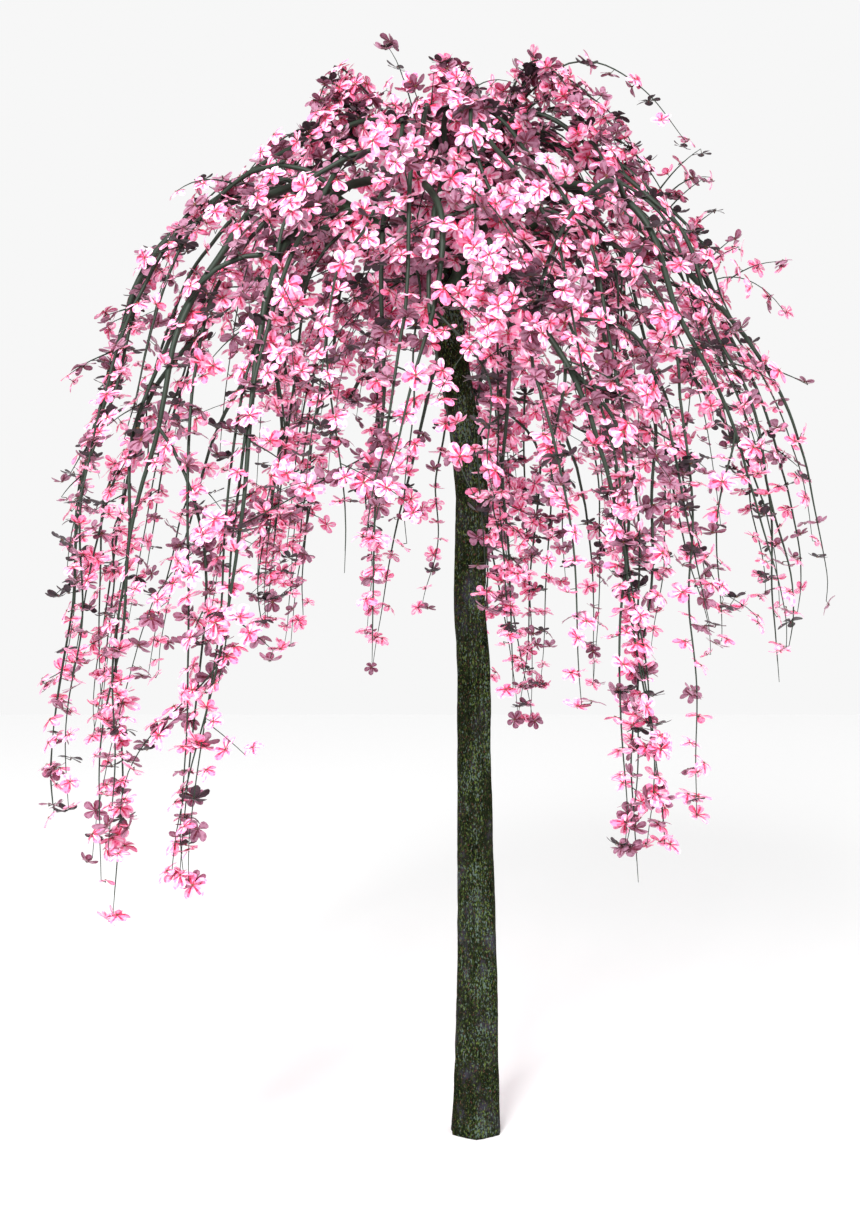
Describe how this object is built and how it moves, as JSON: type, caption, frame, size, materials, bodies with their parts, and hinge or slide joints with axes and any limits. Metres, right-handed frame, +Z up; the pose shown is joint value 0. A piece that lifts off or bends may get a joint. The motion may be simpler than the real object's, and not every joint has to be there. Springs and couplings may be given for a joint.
{
  "type": "weeping cherry tree",
  "caption": "Weeping cherry tree in full pink blossom, grown as a tall standard: a leaning mossy trunk under a dome of arching boughs and long hanging flower strands.",
  "frame": {"origin": "the middle of the trunk's flat cut at ground level", "axes": "+Z is up the trunk; -Y is the front, where the crown is parted and shows the trunk; +X is to the right seen from the front"},
  "size_m": [2.0998, 1.8815, 3],
  "materials": {
    "bark": "rough, dark green-brown bark with moss and pale lichen",
    "young_bark": "matt dark green bark of young shoots",
    "blossom": "soft pink petals, pale at their margins and crimson at their base"
  },
  "bodies": {
    "root": {"cap": "blossom", "tuft_1": "blossom", "tuft_2": "blossom", "tuft_3": "blossom", "shoulder_1": "blossom", "shoulder_2": "blossom", "shoulder_3": "blossom", "shoulder_4": "blossom", "shoulder_5": "blossom", "shoulder_6": "blossom", "shoulder_7": "blossom", "shoulder_8": "blossom", "tress_1": "blossom", "tress_2": "blossom", "tress_3": "blossom", "tress_4": "blossom", "tress_5": "blossom", "tress_6": "blossom", "tress_7": "blossom", "tress_8": "blossom", "tress_9": "blossom", "tress_10": "blossom", "tress_11": "blossom", "tress_12": "blossom", "tress_13": "blossom", "tress_14": "blossom", "tress_15": "blossom", "tress_16": "blossom", "inner_tress_1": "blossom", "inner_tress_2": "blossom", "inner_tress_3": "blossom", "inner_tress_4": "blossom", "inner_tress_5": "blossom", "inner_tress_6": "blossom", "inner_tress_7": "blossom", "inner_tress_8": "blossom", "trunk": "bark", "bough_1": "bark", "bough_2": "bark", "bough_3": "bark", "bough_4": "bark", "bough_5": "bark", "bough_6": "bark", "bough_7": "bark", "bough_8": "bark", "leader_1": "bark", "leader_2": "bark", "leader_3": "bark", "trailing_shoot_1": "young_bark", "trailing_shoot_2": "young_bark", "trailing_shoot_3": "young_bark", "trailing_shoot_4": "young_bark", "trailing_shoot_5": "young_bark"}
  },
  "joints": []
}
